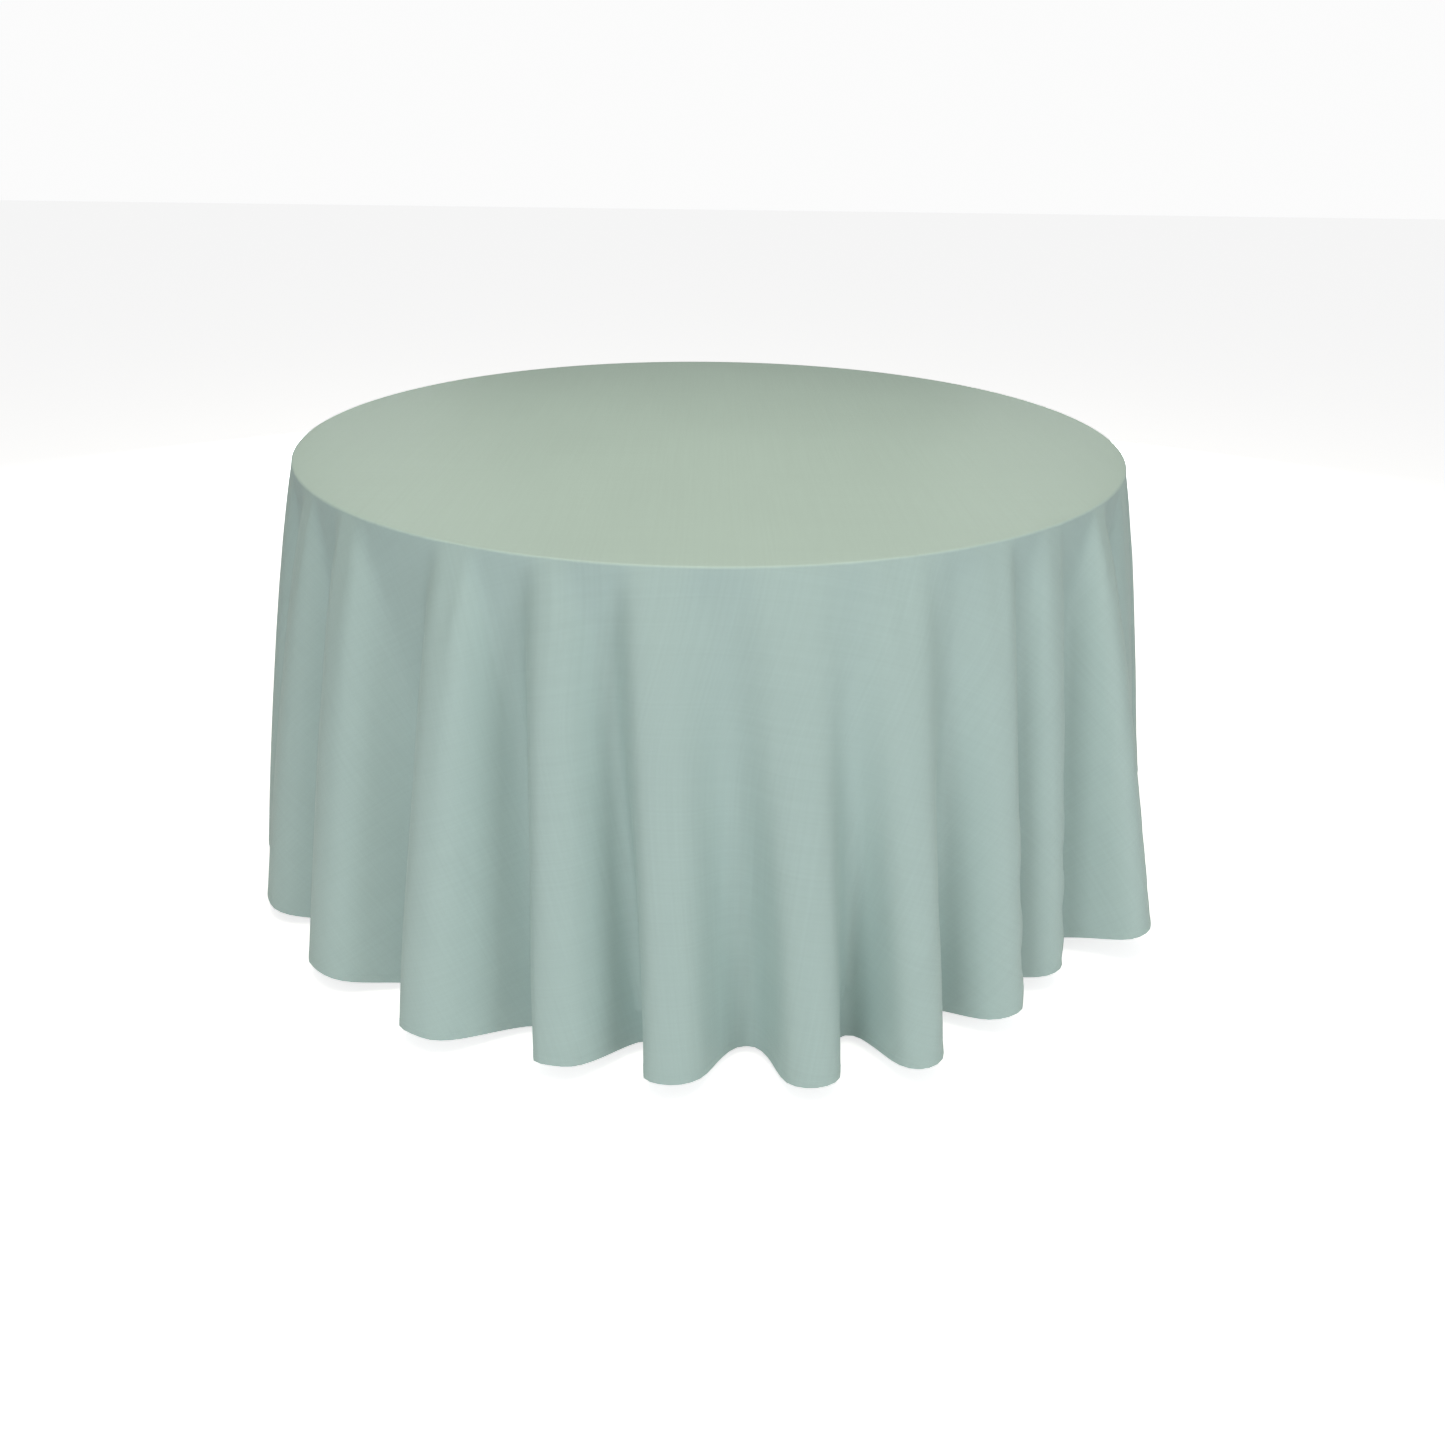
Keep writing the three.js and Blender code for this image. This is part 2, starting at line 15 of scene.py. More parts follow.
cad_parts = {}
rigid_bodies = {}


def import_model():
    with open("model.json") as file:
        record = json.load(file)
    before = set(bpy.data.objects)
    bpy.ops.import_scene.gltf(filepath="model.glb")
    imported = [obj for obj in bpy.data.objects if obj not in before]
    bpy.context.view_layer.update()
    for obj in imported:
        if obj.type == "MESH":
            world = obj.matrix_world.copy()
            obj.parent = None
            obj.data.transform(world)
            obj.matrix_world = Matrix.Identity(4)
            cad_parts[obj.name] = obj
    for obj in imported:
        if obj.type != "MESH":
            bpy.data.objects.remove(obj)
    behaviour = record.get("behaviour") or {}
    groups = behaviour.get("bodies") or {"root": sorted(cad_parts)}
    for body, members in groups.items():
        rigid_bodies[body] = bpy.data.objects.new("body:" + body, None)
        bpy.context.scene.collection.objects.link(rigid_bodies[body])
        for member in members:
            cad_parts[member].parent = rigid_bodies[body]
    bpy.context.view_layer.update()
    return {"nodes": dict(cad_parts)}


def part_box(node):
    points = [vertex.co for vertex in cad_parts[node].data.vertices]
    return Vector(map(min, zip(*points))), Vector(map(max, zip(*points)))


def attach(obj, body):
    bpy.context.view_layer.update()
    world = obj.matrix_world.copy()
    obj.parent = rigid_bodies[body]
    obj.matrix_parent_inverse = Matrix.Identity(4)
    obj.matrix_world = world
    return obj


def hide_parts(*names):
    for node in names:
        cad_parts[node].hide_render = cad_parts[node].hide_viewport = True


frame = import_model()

# ------------------------------------------------------------------ sizes, in metres

TABLE_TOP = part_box("plywood_top")[1].z
TABLE_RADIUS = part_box("edge_band")[1].x

CLOTH_RADIUS = 1.524            # flat, before it is laid
CLOTH_THICKNESS = 0.0012
CLOTH_CLEARANCE = 0.0003        # cloth to table top
EDGE_CLEARANCE = 0.001          # cloth to table edge, measured outwards
EDGE_ROUNDING = 0.0036          # of the cloth's middle where it turns over the edge
HEM_WIDTH = 0.012
HEM_THICKNESS = 0.0016

FLAT_HEIGHT = TABLE_TOP + CLOTH_CLEARANCE + CLOTH_THICKNESS / 2
RIM_RADIUS = TABLE_RADIUS + EDGE_CLEARANCE + CLOTH_THICKNESS / 2

# Every fold of the skirt, from the front left through the front (0 degrees) and the right (90)
# round to it again: where its ridge meets the hem and the rim, in degrees, how far its hem
# stands out from the rim, the power with which the valleys beside it deepen from the rim to the
# hem, and how many degrees those valleys lie back from the middle between two ridges at the hem.
FOLDS = [
    (-57, -55, 0.198, 0.45, -2), (-43, -45, 0.204, 0.40, -4), (-28.2, -26.5, 0.208, 0.35, -4.5),
    (-14.4, -16.5, 0.186, 0.50, -4), (-4, -6.5, 0.196, 0.75, -2), (10, 8, 0.210, 1.40, 0),
    (19.8, 18.5, 0.220, 1.30, 1), (31.8, 32, 0.190, 0.80, 4), (39.5, 40, 0.164, 0.50, 3),
    (50, 51.5, 0.236, 0.45, 1), (63, 63, 0.156, 0.60, 0), (75.5, 76.5, 0.166, 0.40, -2),
    (87, 86, 0.204, 0.90, 1), (101, 102, 0.210, 0.50, 2), (113, 112, 0.190, 0.75, -1),
    (127, 126, 0.206, 0.40, -2.5), (140, 141, 0.214, 1.10, 2), (152, 151, 0.188, 0.60, 1),
    (166, 165, 0.202, 0.45, -2), (179, 180, 0.206, 0.90, 0), (191, 190.5, 0.192, 0.75, 2),
    (205, 206, 0.210, 0.40, -2), (217, 216, 0.200, 1.10, -1), (231, 230, 0.212, 0.50, 2),
    (243, 244, 0.190, 0.60, 0), (256, 255, 0.204, 0.40, -2), (269, 270, 0.206, 0.90, 1),
    (281, 280, 0.186, 0.50, 2), (291, 292, 0.176, 0.70, -1),
]
RIDGE_GROWTH = 0.85             # power with which the ridges move out from the rim to the hem
RIDGE_DRIFT = 1.5               # power with which they come to their place at the hem
VALLEY_REACH = 0.088            # how far the hem stands out between two folds, before deepening
LEAST_REACH = 0.03              # how far it stands out where it comes nearest to the table
MOST_DEEPENING = 2.2            # of the valleys, to take up the length of the cloth
DEEPENING_TRIALS = 24
FLANK_STEEPNESS = 0.55          # at the hem: 0 is a plain wave, 1 has upright flanks
RIDGE_BREADTH = 1.6             # 1 has ridges as narrow as valleys, and more makes them broader
LEAST_FALL = 0.3                # from ring to ring, as a share of the cloth between them

COLUMNS = 10 * len(FOLDS)       # of the cloth's grid, round the table
OUTLINE_STEPS = 60              # along each fold's outline, to measure it
TOP_RINGS = (0.25, 0.5, 0.68, 0.745)
EDGE_RINGS = 3                  # over the rounding of the edge
SKIRT_RINGS = 31


# ------------------------------------------------------------------ general helpers

def select_only(piece):
    bpy.ops.object.select_all(action="DESELECT")
    piece.select_set(True)
    bpy.context.view_layer.objects.active = piece


def apply_modifiers(piece):
    select_only(piece)
    for name in [modifier.name for modifier in piece.modifiers]:
        bpy.ops.object.modifier_apply(modifier=name)


def new_piece(name, points, faces):
    mesh = bpy.data.meshes.new(name)
    mesh.from_pydata([tuple(point) for point in points], [], faces)
    mesh.update()
    piece = bpy.data.objects.new(name, mesh)
    bpy.context.scene.collection.objects.link(piece)
    return piece


# ------------------------------------------------------------------ the cloth's folds

def column_turns():
    """Where each column of the grid lies round the table at the rim."""
    return np.radians(FOLDS[0][1] + np.arange(COLUMNS) / COLUMNS * 360)


def ring_outline(share, deepening):
    """The skirt seen from above at one level, from its first ridge round to it again.

    share is 0 at the rim and 1 at the hem.
    """
    hem, rim, stand, growth, lean = np.array(FOLDS).T
    ridges = hem + (rim - hem) * (1 - share) ** RIDGE_DRIFT
    crests = stand * share**RIDGE_GROWTH
    depths = (stand - VALLEY_REACH) * share**growth

    fold = np.repeat(np.arange(len(FOLDS)), OUTLINE_STEPS)
    following = (fold + 1) % len(FOLDS)
    way = np.tile(np.arange(OUTLINE_STEPS) / OUTLINE_STEPS, len(FOLDS))
    spacing = (ridges[following] - ridges[fold]) % 360
    blend = way * way * (3 - 2 * way)
    crest = crests[fold] * (1 - blend) + crests[following] * blend
    depth = depths[fold] * (1 - blend) + depths[following] * blend
    leaning = (lean[fold] * (1 - blend) + lean[following] * blend) * share
    wave = 1 - (0.5 - 0.5 * np.cos(2 * math.pi * way)) ** RIDGE_BREADTH
    steep = FLANK_STEEPNESS * share / (4 * math.pi) * np.sin(4 * math.pi * way)
    turn = np.radians(ridges[fold] + spacing * (way + steep) + leaning * (wave - 1))
    reach = crest - deepening * depth * (1 - wave)
    radius = RIM_RADIUS + np.maximum(reach, LEAST_REACH * share)
    x, y = radius * np.sin(turn), -radius * np.cos(turn)
    return np.append(x, x[0]), np.append(y, y[0])


def lengths_along(x, y):
    return np.concatenate([[0], np.cumsum(np.hypot(np.diff(x), np.diff(y)))])


def gathered_ring(share, cloth_length):
    """The outline at one level, deepened until it takes the cloth's length, in even steps."""
    low, high = 0.0, MOST_DEEPENING
    for _ in range(DEEPENING_TRIALS):
        middle = (low + high) / 2
        if lengths_along(*ring_outline(share, middle))[-1] < cloth_length:
            low = middle
        else:
            high = middle
    x, y = ring_outline(share, low)
    along = lengths_along(x, y)
    steps = np.arange(COLUMNS) / COLUMNS * along[-1]
    return np.interp(steps, along, x), np.interp(steps, along, y)


def cloth_rings():
    """(distance from the cloth's middle, points) for each ring of its grid, from the inside.

    It also gives the distance at which the skirt starts.
    """
    turn = column_turns()

    def round_ring(radius, height):
        return np.stack([radius * np.sin(turn), -radius * np.cos(turn),
                         np.full(COLUMNS, height)], 1)

    flat_radius = RIM_RADIUS - EDGE_ROUNDING
    rings = [(radius, round_ring(radius, FLAT_HEIGHT)) for radius in (*TOP_RINGS, flat_radius)]
    for step in range(1, EDGE_RINGS + 1):
        tilt = step / EDGE_RINGS * math.pi / 2
        radius = flat_radius + EDGE_ROUNDING * math.sin(tilt)
        height = FLAT_HEIGHT - EDGE_ROUNDING * (1 - math.cos(tilt))
        rings.append((flat_radius + EDGE_ROUNDING * tilt, round_ring(radius, height)))
    skirt_start = rings[-1][0]
    skirt_length = CLOTH_RADIUS - skirt_start
    distances = np.linspace(skirt_start, CLOTH_RADIUS - HEM_WIDTH, SKIRT_RINGS + 1)[1:]
    for distance in (*distances, CLOTH_RADIUS):
        share = (distance - skirt_start) / skirt_length
        x, y = gathered_ring(share, 2 * math.pi * distance)
        last_distance, above = rings[-1]
        step = distance - last_distance
        aside = np.hypot(x - above[:, 0], y - above[:, 1])
        down = np.sqrt(np.maximum(step**2 - aside**2, (LEAST_FALL * step) ** 2))
        rings.append((distance, np.stack([x, y, above[:, 2] - down], 1)))
    return rings, skirt_start


def grid_faces(ring_count):
    faces = [(0, 1 + i, 1 + (i + 1) % COLUMNS) for i in range(COLUMNS)]
    for ring in range(ring_count - 1):
        upper = 1 + ring * COLUMNS
        lower = upper + COLUMNS
        for i in range(COLUMNS):
            j = (i + 1) % COLUMNS
            faces.append((upper + i, lower + i, lower + j, upper + j))
    return faces


def flat_points(rings, height=0.0):
    """Where each point of the grid lies on the flat cloth."""
    turn = column_turns()
    points = [(0.0, 0.0, height)]
    for distance, _ in rings:
        points.extend(zip(distance * np.sin(turn), -distance * np.cos(turn),
                          np.full(COLUMNS, height)))
    return np.array(points)


# ------------------------------------------------------------------ settling the cloth

HOLD_UPPER = 0.0004             # how firmly the skirt keeps to its gathered shape, at the rim
HOLD_HEM = 0.0015               # and at the hem
SETTLE_FRAMES = 24


def hold_weights(rings, skirt_start):
    """The vertex weight of each ring: a weight holds as firmly as its fourth power."""
    weights = []
    for distance, _ in rings:
        share = (distance - skirt_start) / (CLOTH_RADIUS - skirt_start)
        hold = 1.0 if share <= 1e-6 else HOLD_UPPER + (HOLD_HEM - HOLD_UPPER) * share
        weights.append(hold**0.25)
    return weights


def settle(cloth, rings, skirt_start):
    """Lets the gathered cloth hang under its own weight, with the lengths of the flat one."""
    cloth.shape_key_add(name="gathered")
    flat = cloth.shape_key_add(name="flat")
    flat.data.foreach_set("co", flat_points(rings, FLAT_HEIGHT).astype(np.float32).ravel())
    held = cloth.vertex_groups.new(name="held")
    held.add([0], 1.0, "REPLACE")
    for ring, weight in enumerate(hold_weights(rings, skirt_start)):
        first = 1 + ring * COLUMNS
        held.add(list(range(first, first + COLUMNS)), weight, "REPLACE")

    modifier = cloth.modifiers.new("drape", "CLOTH")
    fabric = modifier.settings
    fabric.quality = 5
    fabric.mass = 0.3
    fabric.tension_stiffness = 15
    fabric.compression_stiffness = 15
    fabric.shear_stiffness = 2
    fabric.bending_stiffness = 0.5
    fabric.bending_model = "ANGULAR"
    fabric.air_damping = 5
    fabric.pin_stiffness = 10
    fabric.vertex_group_mass = "held"
    fabric.rest_shape_key = flat
    modifier.collision_settings.use_collision = False
    modifier.collision_settings.use_self_collision = False
    modifier.point_cache.frame_start = 1
    modifier.point_cache.frame_end = SETTLE_FRAMES
    for step in range(1, SETTLE_FRAMES + 1):
        bpy.context.scene.frame_set(step)
    settled = cloth.evaluated_get(bpy.context.evaluated_depsgraph_get())
    places = np.empty(3 * len(cloth.data.vertices), np.float32)
    settled.data.vertices.foreach_get("co", places)
    bpy.context.scene.frame_set(1)
    return places.reshape(-1, 3)


def drape_cloth():
    """The whole cloth as one smooth sheet, with its hem as a second material slot."""
    rings, skirt_start = cloth_rings()
    points = np.concatenate([[(0, 0, FLAT_HEIGHT)], *[ring for _, ring in rings]])
    faces = grid_faces(len(rings))
    trial = new_piece("trial_cloth", points, faces)
    points = settle(trial, rings, skirt_start)
    bpy.data.objects.remove(trial)
    cloth = new_piece("tablecloth_sheet", points, faces)

    flat = flat_points(rings)[:, :2]
    layer = cloth.data.uv_layers.new(name="cut")
    corners = [corner.vertex_index for corner in cloth.data.loops]
    layer.data.foreach_set("uv", flat[corners].astype(np.float32).ravel())
    cloth.data.materials.append(MATERIALS["cloth"])
    cloth.data.materials.append(MATERIALS["hem"])
    for face in cloth.data.polygons[-COLUMNS:]:
        face.material_index = 1

    smooth = cloth.modifiers.new("smooth", "SUBSURF")
    smooth.levels = smooth.render_levels = 1
    smooth.use_limit_surface = False
    apply_modifiers(cloth)
    return cloth


def separate_hem(cloth):
    """The cloth cut in two along the hem's upper edge: its body and its hem."""
    select_only(cloth)
    bpy.ops.object.mode_set(mode="EDIT")
    bpy.ops.mesh.select_all(action="SELECT")
    bpy.ops.mesh.separate(type="MATERIAL")
    bpy.ops.object.mode_set(mode="OBJECT")
    parts = [o for o in bpy.context.scene.objects if o.name.startswith("tablecloth_sheet")]
    body, hem = sorted(parts, key=lambda part: -len(part.data.polygons))
    body.name, hem.name = "cloth_body", "cloth_hem"
    for part, material in ((body, "cloth"), (hem, "hem")):
        part.data.materials.clear()
        part.data.materials.append(MATERIALS[material])
        for face in part.data.polygons:
            face.material_index = 0
            face.use_smooth = True
    return body, hem


CRISP_ANGLE = math.radians(50)  # edges of the wall that turn more than this are crisp


def thicken(sheet, thickness):
    """Gives the sheet a wall, half to each side, with crisp edges."""
    wall = sheet.modifiers.new("wall", "SOLIDIFY")
    wall.thickness = thickness
    wall.offset = 0
    apply_modifiers(sheet)
    bpy.ops.object.shade_smooth_by_angle(angle=CRISP_ANGLE)


# ------------------------------------------------------------------ hem stitching

STITCH_PITCH = 0.0034
STITCH_LENGTH = 0.0026
STITCH_WIDTH = 0.0006
STITCH_HEIGHT = 0.0005
STITCH_INSET = 0.0022           # below the hem's upper edge


def hem_lines(hem):
    """Points of the hem's upper edge and of the middle of its width, in order round it."""
    mesh = hem.data
    cut = mesh.uv_layers["cut"].data
    distances = {corner.vertex_index: cut[corner.index].uv.length for corner in mesh.loops}
    # Its points lie a whole width, half a width or nothing in from the cloth's edge.
    inner = {v for v, distance in distances.items() if distance < CLOTH_RADIUS - 0.75 * HEM_WIDTH}
    neighbours = {v: [] for v in distances}
    edges = dict.fromkeys(edge for face in mesh.polygons for edge in face.edge_keys)
    for a, b in edges:
        neighbours[a].append(b)
        neighbours[b].append(a)
    start = min(inner)
    line = [start]
    seen = {start}
    while True:
        following = [v for v in neighbours[line[-1]] if v in inner and v not in seen]
        if not following:
            break
        line.append(following[0])
        seen.add(following[0])
    below = [next(v for v in neighbours[u] if v not in inner) for u in line]
    upper = np.array([mesh.vertices[v].co for v in line])
    middle = np.array([mesh.vertices[v].co for v in below])
    return upper, middle


def stitch_shape():
    """One stitch as eight triangles, along X, with Z up from the cloth."""
    points = np.array([
        (-STITCH_LENGTH / 2, 0, 0), (STITCH_LENGTH / 2, 0, 0),
        (0, -STITCH_WIDTH / 2, 0), (0, 0, STITCH_HEIGHT / 2),
        (0, STITCH_WIDTH / 2, 0), (0, 0, -STITCH_HEIGHT / 2),
    ])
    faces = []
    for side in range(4):
        near, far = 2 + side, 2 + (side + 1) % 4
        faces += [(0, far, near), (1, near, far)]
    return points, faces


def sew_hem(hem):
    """A line of single stitches on the outside of the hem."""
    upper, middle = hem_lines(hem)
    inward = middle - upper
    inward /= np.linalg.norm(inward, axis=1)[:, None]
    line = upper + inward * STITCH_INSET
    closed = np.vstack([line, line[:1]])
    along = np.concatenate([[0], np.cumsum(np.linalg.norm(np.diff(closed, axis=0), axis=1))])
    count = int(along[-1] / STITCH_PITCH)
    places = np.arange(count) * along[-1] / count
    closed_inward = np.vstack([inward, inward[:1]])

    def at(distances, values):
        return np.stack([np.interp(distances, along, values[:, k]) for k in range(3)], 1)

    centres = at(places, closed)
    forward = at(np.minimum(places + STITCH_LENGTH / 2, along[-1]), closed) - centres
    forward /= np.linalg.norm(forward, axis=1)[:, None]
    across = at(places, closed_inward)
    outward = np.cross(across, forward)
    outward /= np.linalg.norm(outward, axis=1)[:, None]
    radial = centres * (1, 1, 0)
    if np.sum(outward * radial) < 0:
        outward = -outward
    # Three eighths of each stitch's height are sunk in the cloth.
    centres += outward * (HEM_THICKNESS / 2 + STITCH_HEIGHT / 8)
    across = np.cross(outward, forward)
    shape, shape_faces = stitch_shape()
    points = (centres[:, None, :] + shape[None, :, 0:1] * forward[:, None, :]
              + shape[None, :, 1:2] * across[:, None, :] + shape[None, :, 2:3] * outward[:, None, :])
    faces = [tuple(v + len(shape) * stitch for v in face)
             for stitch in range(count) for face in shape_faces]
    stitching = new_piece("hem_stitching", points.reshape(-1, 3), faces)
    stitching.data.materials.append(MATERIALS["thread"])
    return stitching


def make_cloth():
    body, hem = separate_hem(drape_cloth())
    stitching = sew_hem(hem)
    thicken(body, CLOTH_THICKNESS)
    thicken(hem, HEM_THICKNESS)
    body.name, hem.name = "draped_tablecloth", "draped_hem"
    for part in (body, hem, stitching):
        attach(part, "cloth")
    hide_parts("tablecloth")
    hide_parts("tablecloth_hem")


# ------------------------------------------------------------------ shader building blocks

def add_node(tree, kind, settings=None, inputs=None):
    """A node with its settings, and its inputs set to a value or linked to a socket."""
    node = tree.nodes.new(kind)
    for name, value in (settings or {}).items():
        setattr(node, name, value)
    for name, value in (inputs or {}).items():
        if isinstance(value, bpy.types.NodeSocket):
            tree.links.new(value, node.inputs[name])
        else:
            node.inputs[name].default_value = value
    return node


def math_node(tree, operation, first, second=0.0, clamp=False):
    node = add_node(tree, "ShaderNodeMath", {"operation": operation, "use_clamp": clamp},
                    {0: first, 1: second})
    return node.outputs[0]


def between(tree, value, low, high, from_low=0.0, from_high=1.0):
    """The value, brought from the range between from_low and from_high to low and high."""
    node = add_node(tree, "ShaderNodeMapRange", {}, {
        "Value": value, "From Min": from_low, "From Max": from_high,
        "To Min": low, "To Max": high})
    return node.outputs[0]


def blend_colours(tree, share, first, second):
    node = add_node(tree, "ShaderNodeMix", {"data_type": "RGBA"}, {0: share, 6: first, 7: second})
    return node.outputs[2]


def start_group(name, inputs, outputs):
    """A new shader group. inputs and outputs are {socket name: (kind, default)}."""
    group = bpy.data.node_groups.new(name, "ShaderNodeTree")
    for in_out, sockets in (("INPUT", inputs), ("OUTPUT", outputs)):
        for socket_name, (kind, default) in sockets.items():
            socket = group.interface.new_socket(
                socket_name, in_out=in_out, socket_type=f"NodeSocket{kind}")
            if default is not None:
                socket.default_value = default
    given = group.nodes.new("NodeGroupInput")
    result = group.nodes.new("NodeGroupOutput")
    return group, given.outputs, result.inputs


def place_group(tree, group, inputs):
    return add_node(tree, "ShaderNodeGroup", {"node_tree": group}, inputs).outputs


def make_mottle_group():
    """Soft cloudy unevenness: Tone is about 1, Roughness about the one given."""
    group, given, result = start_group("mottle", {
        "Place": ("Vector", None), "Size": ("Float", 0.1), "Amount": ("Float", 0.05),
        "Roughness": ("Float", 0.5), "Roughness Spread": ("Float", 0.05),
    }, {"Tone": ("Float", 1.0), "Roughness": ("Float", 0.5)})
    scale = math_node(group, "DIVIDE", 1.0, given["Size"])
    clouds = add_node(group, "ShaderNodeTexNoise", {}, {
        "Vector": given["Place"], "Scale": scale, "Detail": 5.0, "Roughness": 0.55})
    centred = math_node(group, "SUBTRACT", clouds.outputs[0], 0.5)
    tone = math_node(group, "MULTIPLY", centred, given["Amount"])
    group.links.new(math_node(group, "ADD", tone, 1.0), result["Tone"])
    rough = math_node(group, "MULTIPLY", centred, given["Roughness Spread"])
    group.links.new(math_node(group, "ADD", rough, given["Roughness"]), result["Roughness"])
    return group


def make_weave_group():
    """A plain weave: Height of the threads, and Slub, the unevenness of their thickness."""
    group, given, result = start_group("plain_weave", {
        "Cut": ("Vector", None), "Threads": ("Float", 2600.0),
    }, {"Height": ("Float", 0.0), "Slub": ("Float", 0.0)})
    split = add_node(group, "ShaderNodeSeparateXYZ", {}, {0: given["Cut"]})
    turns = math_node(group, "MULTIPLY", given["Threads"], math.pi)
    warp = math_node(group, "SINE", math_node(group, "MULTIPLY", split.outputs[0], turns))
    weft = math_node(group, "SINE", math_node(group, "MULTIPLY", split.outputs[1], turns))
    over = between(group, math_node(group, "MULTIPLY", warp, weft), 0.0, 1.0, -0.2, 0.2)
    warp_height = math_node(group, "ABSOLUTE", warp)
    weft_height = math_node(group, "ABSOLUTE", weft)
    height = add_node(group, "ShaderNodeMix", {"data_type": "FLOAT"},
                      {0: over, 2: warp_height, 3: weft_height})
    group.links.new(height.outputs[0], result["Height"])
    slubs = []
    for stretch in ((260.0, 3.0, 1.0), (3.0, 260.0, 1.0)):
        threads = add_node(group, "ShaderNodeMapping", {}, {
            "Vector": given["Cut"], "Scale": stretch})
        noise = add_node(group, "ShaderNodeTexNoise", {}, {
            "Vector": threads.outputs[0], "Scale": 1.0, "Detail": 3.0})
        slubs.append(noise.outputs[0])
    slub = math_node(group, "MULTIPLY", math_node(group, "ADD", *slubs), 0.5)
    group.links.new(slub, result["Slub"])
    return group


def make_grain_group():
    """Wood grain that runs along Y: its Color and the Height of its pores."""
    group, given, result = start_group("wood_grain", {
        "Place": ("Vector", None), "Pale": ("Color", (1, 1, 1, 1)),
        "Dark": ("Color", (0, 0, 0, 1)), "Spacing": ("Float", 0.02),
    }, {"Color": ("Color", None), "Height": ("Float", 0.0)})
    stretched = add_node(group, "ShaderNodeMapping", {}, {
        "Vector": given["Place"], "Scale": (1.0, 0.09, 1.0)})
    scale = math_node(group, "DIVIDE", 1.0, given["Spacing"])
    figure = add_node(group, "ShaderNodeTexNoise", {}, {
        "Vector": stretched.outputs[0], "Scale": scale, "Detail": 4.0, "Distortion": 0.6})
    rings = math_node(group, "SINE", math_node(group, "MULTIPLY", figure.outputs[0], 34.0))
    pores = add_node(group, "ShaderNodeTexNoise", {}, {
        "Vector": stretched.outputs[0], "Scale": math_node(group, "MULTIPLY", scale, 22.0),
        "Detail": 3.0})
    fine = between(group, pores.outputs[0], 0.0, 1.0, 0.35, 0.7)
    share = math_node(group, "ADD", between(group, rings, 0.0, 0.6, -1.0, 1.0),
                      math_node(group, "MULTIPLY", fine, 0.4), clamp=True)
    group.links.new(blend_colours(group, share, given["Pale"], given["Dark"]), result["Color"])
    group.links.new(fine, result["Height"])
    return group


def start_material(name, roughness, metallic=0.0):
    material = bpy.data.materials.new(name)
    material.use_nodes = True
    tree = material.node_tree
    surface = tree.nodes["Principled BSDF"]
    surface.inputs["Roughness"].default_value = roughness
    surface.inputs["Metallic"].default_value = metallic
    return material, tree, surface


def object_place(tree):
    return add_node(tree, "ShaderNodeTexCoord").outputs["Object"]


def tone_colour(tree, colour, tone):
    """The colour, lighter or darker as tone says."""
    scaled = add_node(tree, "ShaderNodeVectorMath", {"operation": "SCALE"},
                      {0: colour, "Scale": tone})
    return scaled.outputs[0]


def add_bump(tree, surface, height, distance, strength=1.0):
    bump = add_node(tree, "ShaderNodeBump", {}, {
        "Height": height, "Distance": distance, "Strength": strength})
    tree.links.new(bump.outputs[0], surface.inputs["Normal"])


# ------------------------------------------------------------------ materials

SEA_GREEN = (0.408, 0.53, 0.514)
THREAD_GREEN = (0.46, 0.59, 0.57)
BIRCH_PALE, BIRCH_DARK = (0.60, 0.43, 0.24, 1), (0.44, 0.28, 0.13, 1)
SOFTWOOD_PALE, SOFTWOOD_DARK = (0.56, 0.38, 0.19, 1), (0.36, 0.20, 0.08, 1)
BROWN_VINYL = (0.07, 0.05, 0.035)
DARK_POWDER = (0.045, 0.047, 0.05)
ZINC_GREY = (0.56, 0.57, 0.58)
BLACK_RUBBER = (0.02, 0.02, 0.021)

THREADS_PER_METRE = 2600.0
THREAD_RELIEF = 0.0002


def make_fabric(name, groups):
    """Satin polyester: fine plain weave with painted shade between its threads, a little slub, and a
    soft sheen.
    """
    material, tree, surface = start_material(name, 0.5)
    cut = add_node(tree, "ShaderNodeUVMap", {"uv_map": "cut"}).outputs[0]
    weave = place_group(tree, groups["weave"], {"Cut": cut, "Threads": THREADS_PER_METRE})
    mottle = place_group(tree, groups["mottle"], {
        "Place": cut, "Size": 0.35, "Amount": 0.05,
        "Roughness": 0.5, "Roughness Spread": 0.12})
    slub_tone = between(tree, weave["Slub"], 0.965, 1.035, 0.3, 0.7)
    # Painted shade: the low places of the weave, between its threads, are painted up to six percent
    # darker, on top of the bump.
    weave_hollow_shade = between(tree, weave["Height"], 0.94, 1.03)
    tone = math_node(tree, "MULTIPLY", slub_tone, weave_hollow_shade)
    tone = math_node(tree, "MULTIPLY", tone, mottle["Tone"])
    tree.links.new(tone_colour(tree, SEA_GREEN, tone), surface.inputs["Base Color"])
    tree.links.new(mottle["Roughness"], surface.inputs["Roughness"])
    surface.inputs["Sheen Weight"].default_value = 0.18
    surface.inputs["Sheen Roughness"].default_value = 0.4
    surface.inputs["Sheen Tint"].default_value = (0.86, 1.0, 0.95, 1)
    surface.inputs["Specular IOR Level"].default_value = 0.45
    add_bump(tree, surface, weave["Height"], THREAD_RELIEF, 0.35)
    return material


def make_thread(groups):
    material, tree, surface = start_material("polyester_thread", 0.45)
    mottle = place_group(tree, groups["mottle"], {
        "Place": object_place(tree), "Size": 0.004, "Amount": 0.25,
        "Roughness": 0.45, "Roughness Spread": 0.2})
    tree.links.new(tone_colour(tree, THREAD_GREEN, mottle["Tone"]), surface.inputs["Base Color"])
    tree.links.new(mottle["Roughness"], surface.inputs["Roughness"])
    surface.inputs["Sheen Weight"].default_value = 0.2
    return material


